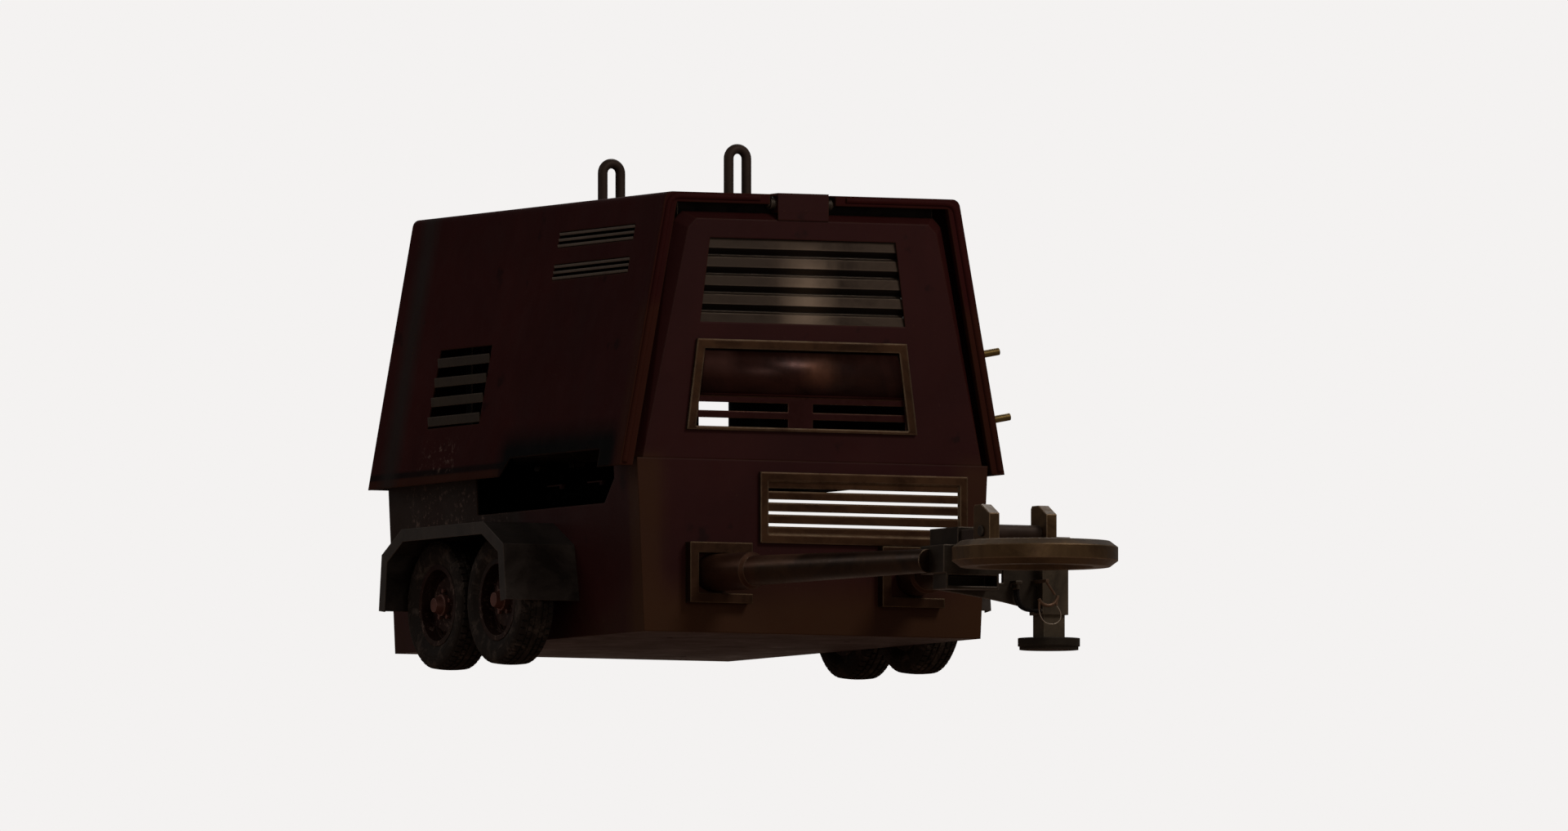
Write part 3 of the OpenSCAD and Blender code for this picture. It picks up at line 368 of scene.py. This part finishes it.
def worn_metal(name, base, deep, bright, metallic=0.75, rough=(0.32, 0.6), bevel=0.008,
               grain=(1, 1, 1), specular=0.2, zones=(), roll=None, under=0.0):
    """Handled metal: brown patches, brighter rubbed edges and fine grain."""
    g = Graph(name, metallic=metallic, specular=specular, bevel=bevel)
    cloud = g.noise(4.0, 6, 0.65, warp=0.8)
    grit = g.noise(45.0, 6, 0.7, grain)
    stain = g.noise(11.0, 7, 0.7, shift=4.0)
    colour = g.mix(g.ramp(cloud, 0.35, 0.65), deep, base)
    colour = g.mix(g.ramp(stain, 0.55, 0.72, 0.0, 0.7), colour, deep)
    # Zones lay colour tints over the metal, and also painted shade, painted shadow and painted
    # highlights.
    for span, tint_and_light, amount in zones:
        patch = g.maths("MULTIPLY", g.zone(**span), g.ramp(cloud, 0.25, 0.6, 0.6, 1.0))
        colour = g.mix(g.maths("MULTIPLY", patch, amount), colour, tint_and_light)
    rub = g.maths("MULTIPLY", g.edges(0.01, 0.2), g.ramp(stain, 0.25, 0.55))
    colour = g.mix(rub, colour, bright)
    # Painted shade: faces that look at the ground darken towards near-black by the amount under.
    if under:
        colour = g.mix(g.maths("MULTIPLY", g.facing_down_shade(), under), colour, SOOT_AND_SHADE)
    shine = g.maths("ADD", g.ramp(cloud, 0.3, 0.7, rough[0], rough[1]),
                    g.ramp(grit, 0.3, 0.7, -0.05, 0.08))
    bumps = [(stain, 0.18, 0.003), (grit, 0.12, 0.001)]
    if roll:
        middle, half = roll
        away = g.maths("DIVIDE", g.maths("SUBTRACT", g.axis("Z"), middle), half)
        arch = g.maths("SUBTRACT", 1.0, g.maths("MULTIPLY", away, away))
        bumps.append((g.maths("MAXIMUM", arch, 0.0), 1.0, half * 0.45))
    return g.finish(colour, shine, bumps)


def rubber(name, base, dust, dirt_noise=12.0, rough=0.8):
    """Dusty black rubber with a fine grain."""
    g = Graph(name, specular=0.12, bevel=0.002)
    cloud = g.noise(dirt_noise, 6, 0.7, warp=0.5)
    grain = g.noise(220.0, 3, 0.6)
    colour = g.mix(g.ramp(cloud, 0.5, 0.72, 0.0, 0.75), base, dust)
    shine = g.ramp(cloud, 0.3, 0.7, rough - 0.1, rough + 0.12)
    return g.finish(colour, shine, [(cloud, 0.15, 0.002), (grain, 0.15, 0.0004)])


MAROON = (0.033, 0.0062, 0.0053, 1)
MAROON_DEEP = (0.024, 0.0043, 0.0038, 1)
BROWN = (0.046, 0.0175, 0.0058, 1)
# Near-black: real soot in the paint's random blotches, and painted shade in the canopy and
# lifting-frame zones and on the louvre's downward faces.
SOOT_AND_SHADE = (0.0015, 0.0010, 0.0009, 1)
FLAKE = (0.16, 0.105, 0.085, 1)
EDGE = (0.060, 0.026, 0.013, 1)
DIRT = (0.032, 0.014, 0.006, 1)
# Painted sheen: greyish highlight for the rounded rear corner of the canopy.
SHEEN_GREY = (0.022, 0.018, 0.016, 1)
BRONZE = (0.110, 0.064, 0.029, 1)
BRONZE_DEEP = (0.048, 0.026, 0.012, 1)
BRONZE_BRIGHT = (0.38, 0.26, 0.16, 1)
FRAME = (0.070, 0.032, 0.014, 1)

CANOPY_TINT_SHADE_AND_SHEEN_ZONES = [
    # Painted shade: near-black over the lower front of the left skirt, above the niche.
    (dict(x=(-1.0, -0.5), y=(0.13, 1.05), z=(0.7, 0.87), soft=0.11), SOOT_AND_SHADE, 1.0),
    (dict(x=(-1.0, -0.5), y=(0.12, 1.0), z=(0.7, 0.86), soft=0.06), SOOT_AND_SHADE, 1.0),
    # Painted shade: a dark line along the groove above the hem.
    (dict(x=(-1.0, -0.5), y=(1.0, 2.3), z=(0.805, 0.82), soft=0.012), SOOT_AND_SHADE, 0.85),
    (dict(x=(-1.0, -0.5), y=(1.1, 2.3), z=(0.7, 0.798), soft=0.006), BROWN, 0.35),
    # Painted sheen: a greyish streak near the rear corner of the left side.
    (dict(x=(-1.0, -0.4), y=(2.08, 2.12), soft=0.09), SHEEN_GREY, 0.75),
    (dict(y=(-0.1, 0.035), z=(0.7, 1.4), soft=0.05), BROWN, 0.3),
]
PANEL_ZONES = [
    (dict(y=(-0.1, 0.02), z=(0.0, 0.2), soft=0.16), BROWN, 0.85),
    (dict(x=(-1.0, -0.72), y=(-0.1, 0.02), z=(0.0, 0.76), soft=0.09), BROWN, 0.6),
    (dict(x=(0.70, 1.0), y=(-0.1, 0.02), z=(0.0, 0.76), soft=0.09), BROWN, 0.6),
    (dict(x=(-1.0, -0.7), y=(0.01, 0.07), z=(0.0, 0.8), soft=0.03), BROWN, 0.5),
    (dict(x=(-1.0, -0.7), y=(1.1, 2.3), z=(0.55, 0.8), soft=0.1), (0.015, 0.009, 0.006, 1),
     0.85),
]
LOUVRE_LIGHT_ZONES = [
    # Painted highlight: a pale patch in the middle of the slats.
    (dict(x=(-0.03, 0.0), z=(1.3, 1.55), soft=0.13), (0.26, 0.185, 0.13, 1), 0.75),
    # Painted shadow: the slats darker to the left of a sharp edge.
    (dict(x=(-0.8, -0.22), z=(1.3, 1.75), soft=0.09), (0.03, 0.02, 0.014, 1), 0.6),
]
PLATE_TONE_AND_SHEEN_ZONES = [
    (dict(z=(0.8, 1.068), soft=0.006), MAROON, 1.0),
    # Painted sheen: two pale spots across the rolled upper part of the plate.
    (dict(x=(0.0, 0.06), z=(1.16, 1.17), soft=0.07), (0.15, 0.06, 0.034, 1), 0.8),
    (dict(x=(-0.6, -0.4), z=(1.19, 1.23), soft=0.07), (0.11, 0.044, 0.034, 1), 0.8),
]

MATS = {
    "body_paint": worn_paint("maroon_paint", MAROON, MAROON_DEEP, EDGE, DIRT,
                             zones=PANEL_ZONES, dirt_top=0.3,
                             flakes=[dict(x=(-1.0, -0.7), y=(1.15, 2.0), z=(0.62, 0.74),
                                          soft=0.1)]),
    # Painted shade: the niche and the outlet manifold in it are near-black, standing in for the
    # shade of the recess.
    "niche_black": worn_paint("niche_shade_black", (0.0015, 0.0013, 0.0012, 1),
                              (0.001, 0.001, 0.001, 1), (0.006, 0.005, 0.004, 1),
                              (0.002, 0.0015, 0.001, 1), specular=0.0, rough=(0.8, 0.9)),
    "dark_steel": worn_metal("dark_steel", (0.048, 0.035, 0.024, 1), (0.020, 0.014, 0.0095, 1),
                             (0.17, 0.13, 0.10, 1), metallic=0.45, rough=(0.35, 0.65)),
    "worn_bronze": worn_metal("worn_bronze", BRONZE, BRONZE_DEEP, BRONZE_BRIGHT),
    "copper_plate": worn_metal("copper_plate", (0.040, 0.012, 0.008, 1),
                               (0.018, 0.006, 0.004, 1), (0.14, 0.07, 0.04, 1), metallic=0.5,
                               rough=(0.28, 0.42), zones=PLATE_TONE_AND_SHEEN_ZONES, roll=(1.17, 0.105)),
    "rusty_steel": worn_metal("rusty_steel", (0.062, 0.040, 0.030, 1), (0.034, 0.021, 0.015, 1),
                              (0.2, 0.15, 0.11, 1), metallic=0.3, rough=(0.5, 0.8)),
    "hose_rubber": rubber("hose_rubber", (0.008, 0.006, 0.005, 1), (0.03, 0.02, 0.013, 1)),
    "cable_steel": worn_metal("cable_steel", (0.36, 0.30, 0.24, 1), (0.16, 0.12, 0.09, 1),
                              (0.6, 0.54, 0.48, 1), metallic=0.8, rough=(0.3, 0.5), bevel=0.001),
    "tyre_rubber": rubber("tyre_rubber", (0.015, 0.0105, 0.0078, 1), (0.10, 0.075, 0.060, 1),
                          16),
    "rim_paint": worn_paint("rim_paint", (0.030, 0.009, 0.007, 1), (0.008, 0.003, 0.0025, 1),
                            (0.10, 0.06, 0.045, 1), (0.03, 0.016, 0.01, 1), dirt_top=0.7,
                            chips=0.56, bevel=0.004,
                            flakes=[dict(z=(0.1, 0.3), soft=0.1)]),
    "hub_iron": worn_metal("hub_iron", (0.16, 0.060, 0.044, 1), (0.07, 0.027, 0.020, 1),
                           (0.36, 0.20, 0.16, 1), metallic=0.35, rough=(0.4, 0.6), bevel=0.003),
    "peg_brass": worn_metal("peg_brass", (0.17, 0.11, 0.035, 1), (0.07, 0.042, 0.016, 1),
                            (0.5, 0.38, 0.17, 1), metallic=0.85, bevel=0.002),
    "machine_grey": worn_paint("machine_grey", (0.010, 0.009, 0.008, 1), (0.005, 0.004, 0.004, 1),
                               (0.05, 0.04, 0.03, 1), (0.01, 0.007, 0.005, 1)),
    "lever_red": worn_paint("lever_red", (0.03, 0.004, 0.003, 1), (0.02, 0.003, 0.002, 1),
                            (0.06, 0.045, 0.03, 1), (0.01, 0.007, 0.005, 1), bevel=0.002),
}

CANOPY = worn_paint("canopy_paint", (0.036, 0.0064, 0.0056, 1), (0.025, 0.0044, 0.004, 1),
                    EDGE, DIRT, bevel=0.014, specular=0.03, rough=(0.5, 0.7),
                    zones=CANOPY_TINT_SHADE_AND_SHEEN_ZONES, dirt_top=0.3,
                    flakes=[dict(x=(-1.0, -0.7), y=(1.55, 1.8), z=(0.84, 0.90), soft=0.06)])
LEG_HIGHLIGHT_ZONES = [
    # Painted highlight: a pale pinkish band along the top of the legs, and a lighter patch near
    # the sleeve.
    (dict(y=(-0.55, -0.05), z=(0.39, 0.5), soft=0.04), (0.17, 0.085, 0.052, 1), 0.6),
    (dict(y=(-0.3, 0.0), z=(0.2, 0.5), soft=0.05), (0.065, 0.024, 0.012, 1), 0.6),
]
LEG = worn_metal("leg_bronze", (0.042, 0.021, 0.010, 1), (0.018, 0.0095, 0.006, 1),
                 (0.22, 0.15, 0.10, 1), rough=(0.25, 0.45), metallic=0.7, zones=LEG_HIGHLIGHT_ZONES)
JACK = worn_metal("jack_steel", (0.095, 0.070, 0.044, 1), (0.036, 0.026, 0.017, 1),
                  (0.22, 0.17, 0.12, 1), metallic=0.4, rough=(0.4, 0.65))
# Painted shade: the lifting frame is near-black below the top of the roof, where it sits in the
# dark gap behind the canopy's lip.
LOOP_SHADE_ZONES = [(dict(z=(0.0, 1.84), soft=0.02), SOOT_AND_SHADE, 1.0)]
OWN_MATS = {
    "canopy": CANOPY,
    "leg_left": LEG,
    "leg_right": LEG,
    "drawbar_sockets": worn_metal("socket_bronze", (0.055, 0.025, 0.012, 1),
                                  (0.028, 0.012, 0.006, 1), (0.20, 0.14, 0.08, 1)),
    "window_bezel": worn_metal("bezel_bronze", FRAME, (0.036, 0.016, 0.008, 1),
                               (0.26, 0.19, 0.12, 1), bevel=0.013),
    "front_grille": worn_metal("grille_bronze", FRAME, (0.036, 0.015, 0.007, 1),
                               (0.26, 0.18, 0.11, 1), bevel=0.012),
    # The louvre's slats carry a painted highlight, a painted shadow and painted shade on their
    # downward faces.
    "upper_louvre": worn_metal("louvre_steel", (0.062, 0.042, 0.029, 1),
                               (0.034, 0.022, 0.015, 1), (0.12, 0.09, 0.065, 1), metallic=0.6,
                               zones=LOUVRE_LIGHT_ZONES, grain=(14, 1, 1), under=0.85),
    "lifting_frame": worn_metal("loop_steel", (0.055, 0.034, 0.026, 1),
                                (0.036, 0.023, 0.017, 1), (0.2, 0.15, 0.11, 1), metallic=0.3,
                                rough=(0.45, 0.7), zones=LOOP_SHADE_ZONES, specular=0.1),
    "cable_hanger": worn_metal("hanger_bronze", (0.16, 0.095, 0.06, 1),
                               (0.07, 0.04, 0.025, 1), (0.4, 0.28, 0.19, 1), bevel=0.002),
    "side_vents": worn_metal("vent_steel", (0.044, 0.032, 0.021, 1), (0.026, 0.018, 0.013, 1),
                             (0.11, 0.08, 0.06, 1), metallic=0.4, rough=(0.5, 0.7)),
    "side_louvres": worn_metal("slat_steel", (0.12, 0.095, 0.075, 1),
                               (0.075, 0.055, 0.042, 1), (0.2, 0.16, 0.12, 1), metallic=0.3,
                               rough=(0.45, 0.65)),
    "fender_left": worn_metal("fender_steel", (0.060, 0.047, 0.039, 1),
                              (0.020, 0.014, 0.011, 1), (0.13, 0.10, 0.08, 1), metallic=0.6,
                              rough=(0.3, 0.5), grain=(1, 1, 8), bevel=0.004),
    "jack_tube": JACK,
    "jack_leg": JACK,
    "jack_foot": worn_metal("foot_iron", (0.028, 0.020, 0.012, 1), (0.013, 0.009, 0.006, 1),
                            (0.06, 0.05, 0.04, 1), metallic=0.4, rough=(0.5, 0.75)),
    # Painted shade: the manifold takes the niche's near-black.
    "outlet_manifold": MATS["niche_black"],
}
OWN_MATS["fender_right"] = OWN_MATS["fender_left"]


def paint_nodes():
    """Every CAD node takes the material of its slot in the record."""
    for part in frame["record"]["subparts"]:
        mesh = nodes[part["node"]].data
        mesh.materials.clear()
        mesh.materials.append(OWN_MATS.get(part["node"], MATS[part["material_slot"]]))


paint_nodes()

# ---- tyres with tread ----

TYRE_R = 0.261
WHEEL_X, AXLE_YS = 0.922, (("f", 0.866), ("r", 1.406))
PITCHES, STEPS = 52, 4
STEP_SLIT = 0.001
SIDEWALL = [(0.1525, 0.058), (0.166, 0.059), (0.178, 0.066), (0.192, 0.0745), (0.2045, 0.078),
            (0.214, 0.0772), (0.217, 0.0782), (0.233, 0.0768), (0.244, 0.0728), (0.251, 0.0655)]
# across the tread: place, and what cuts it: 0 a rib, 1 a groove, 2 a shoulder block, 3 a sipe
TREAD = [(0.0640, 2), (0.0580, 2), (0.0500, 2), (0.0440, 2), (0.0425, 1), (0.0355, 1),
         (0.0340, 3), (0.0260, 3), (0.0200, 3), (0.0185, 1), (0.0115, 1), (0.0100, 0),
         (0.0030, 0)]
GROOVE_DEPTH = 0.0075


def tread_radius(place, kind, step):
    """Radius of the tread at that distance from the middle, for one step of a pitch."""
    crown = TYRE_R - 0.0045 * (place / 0.064) ** 2
    cut = kind == 1 or (kind == 2 and step == 0) or (kind == 3 and step == 2)
    return crown - (GROOVE_DEPTH if cut else 0.0)


def tyre_rings(step):
    """Radius and sideways place round the tyre's section, bead to bead."""
    side = SIDEWALL + [(tread_radius(x, kind, step), x) for x, kind in TREAD]
    return side + [(r, -x) for r, x in reversed(side)]


def make_tyre(name, centre, body, node):
    """A tyre whose tread steps in and out round the wheel, in the place of the CAD's tyre."""
    mesh = bpy.data.meshes.new(name)
    verts, faces = [], []
    total = PITCHES * STEPS * 2
    for k in range(total):
        step = (k // 2) % STEPS
        slit = -STEP_SLIT if k % 2 else STEP_SLIT
        angle = 2 * math.pi * ((k + 1) // 2 + slit) / (PITCHES * STEPS)
        for r, x in tyre_rings(step):
            verts.append((centre[0] + x, centre[1] + r * math.cos(angle),
                          centre[2] + r * math.sin(angle)))
    row = len(tyre_rings(0))
    for k in range(total):
        a, b = k * row, (k + 1) % total * row
        faces += [(a + i, a + i + 1, b + i + 1, b + i) for i in range(row - 1)]
        faces.append((a + row - 1, a, b, b + row - 1))
    mesh.from_pydata(verts, [], faces)
    mesh.validate()
    mesh.materials.append(MATS["tyre_rubber"])
    tyre = bpy.data.objects.new(name, mesh)
    bpy.context.collection.objects.link(tyre)
    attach(tyre, body)
    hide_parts(node)


for end, y in AXLE_YS:
    for side, x in (("l", -WHEEL_X), ("r", WHEEL_X)):
        make_tyre(f"treaded_tyre_{end}{side}", (x, y, TYRE_R), f"wheel_{end}{side}",
                  f"tyre_{end}{side}")

# ---- rolled front edge of the canopy ----

ROLL_R, ROLL_Y, ROLL_INSET = 0.014, 0.0045, 0.017
ROOF_HALF, SKIRT_HALF, ROOF_Z, BELT_Z = 0.66, 0.867, 1.870, 0.767
CORNER_CUT, CORNER_STEPS = 0.045, 8


def roll_path(side):
    """From beside the hinge, along the roof, round the corner and down to the skirt's end."""
    lean = (SKIRT_HALF - ROOF_HALF) / (ROOF_Z - BELT_Z)
    top = ROOF_Z - ROLL_INSET
    start = 0.150 if side > 0 else 0.238
    corner = ROOF_HALF - ROLL_INSET * 1.1
    points = [(start, top), (corner - CORNER_CUT, top)]
    for k in range(1, CORNER_STEPS):
        t = k / CORNER_STEPS
        u, v, w = (1 - t) ** 2, 2 * t * (1 - t), t * t
        points.append((u * (corner - CORNER_CUT) + v * corner
                       + w * (corner + CORNER_CUT * lean),
                       (u + v) * top + w * (top - CORNER_CUT)))
    points.append((corner + lean * 0.2, top - 0.2))
    points.append((SKIRT_HALF - ROLL_INSET * 1.1 - 0.002, BELT_Z + 0.012))
    return [(side * x, ROLL_Y, z) for x, z in points]


for side, word in ((-1, "left"), (1, "right")):
    roll = tube_curve("canopy_roll_" + word, roll_path(side), 2 * ROLL_R, CANOPY)
    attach(roll, "canopy")

# ---- rolled front of the window's blanking plate ----

PLATE_Z0, PLATE_Z1 = 1.056, 1.241
PLATE_BACK, PLATE_EDGE, PLATE_BULGE = 0.0045, 0.0015, 0.013
PLATE_X, PLATE_TOP_HALF, PLATE_SPREAD = -0.053, 0.4355, 0.13
PLATE_ROWS = 28


def make_window_roll():
    """A shallow barrel across the upper part of the plate, closed at the back."""
    verts, faces = [], []
    for k in range(PLATE_ROWS + 1):
        t = k / PLATE_ROWS
        z = PLATE_Z0 + (PLATE_Z1 - PLATE_Z0) * t
        half = PLATE_TOP_HALF + PLATE_SPREAD * (PLATE_Z1 - z)
        y = PLATE_EDGE - PLATE_BULGE * math.sqrt(max(0.0, 1 - (2 * t - 1) ** 2))
        for x in (PLATE_X - half, PLATE_X + half):
            verts += [(x, y, z), (x, PLATE_BACK, z)]
    for k in range(PLATE_ROWS):
        a, b = 4 * k, 4 * (k + 1)
        faces += [(a, a + 2, b + 2, b), (a + 1, b + 1, b + 3, a + 3),
                  (a, b, b + 1, a + 1), (a + 2, a + 3, b + 3, b + 2)]
    end = 4 * PLATE_ROWS
    faces += [(0, 1, 3, 2), (end, end + 2, end + 3, end + 1)]
    mesh = bpy.data.meshes.new("window_roll")
    mesh.from_pydata(verts, [], faces)
    for k in range(PLATE_ROWS):
        mesh.polygons[4 * k].use_smooth = True
    mesh.materials.append(MATS["copper_plate"])
    roll = bpy.data.objects.new("window_roll", mesh)
    bpy.context.collection.objects.link(roll)
    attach(roll, "root")


make_window_roll()

# ---- brake hoses ----

HOSE_D, HOSE_STEP = 0.013, 0.022
HOSE_PTS = [(0.242, -1.300, 0.236), (0.242, -1.300, 0.222), (0.243, -1.300, 0.208),
            (0.246, -1.300, 0.195), (0.251, -1.300, 0.184), (0.258, -1.300, 0.174),
            (0.267, -1.300, 0.166), (0.278, -1.300, 0.160), (0.290, -1.300, 0.156),
            (0.303, -1.300, 0.154), (0.316, -1.300, 0.153), (0.330, -1.300, 0.153),
            (0.344, -1.300, 0.153)]
for k, word in enumerate(("rear", "front")):
    shifted = [(x, y - HOSE_STEP * k, z) for x, y, z in HOSE_PTS]
    hose = tube_curve("brake_hose_" + word, smooth_route(shifted), HOSE_D, MATS["hose_rubber"])
    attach(hose, "root")
    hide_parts("brake_hoses")

# ---- safety cable ----

CABLE_D = 0.004
CABLE_PTS = [(0.372, -1.408, 0.170), (0.381, -1.408, 0.159), (0.388, -1.408, 0.147),
             (0.391, -1.408, 0.134), (0.390, -1.408, 0.121), (0.384, -1.408, 0.110),
             (0.374, -1.408, 0.102), (0.362, -1.408, 0.097), (0.349, -1.408, 0.096),
             (0.336, -1.408, 0.097), (0.324, -1.408, 0.101), (0.314, -1.408, 0.108),
             (0.306, -1.408, 0.117), (0.300, -1.408, 0.128), (0.296, -1.408, 0.140),
             (0.294, -1.408, 0.152)]

cable_path = smooth_route(CABLE_PTS)
cable = tube_curve("safety_cable_wire", cable_path, CABLE_D, MATS["cable_steel"])
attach(cable, "root")
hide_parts("safety_cable")
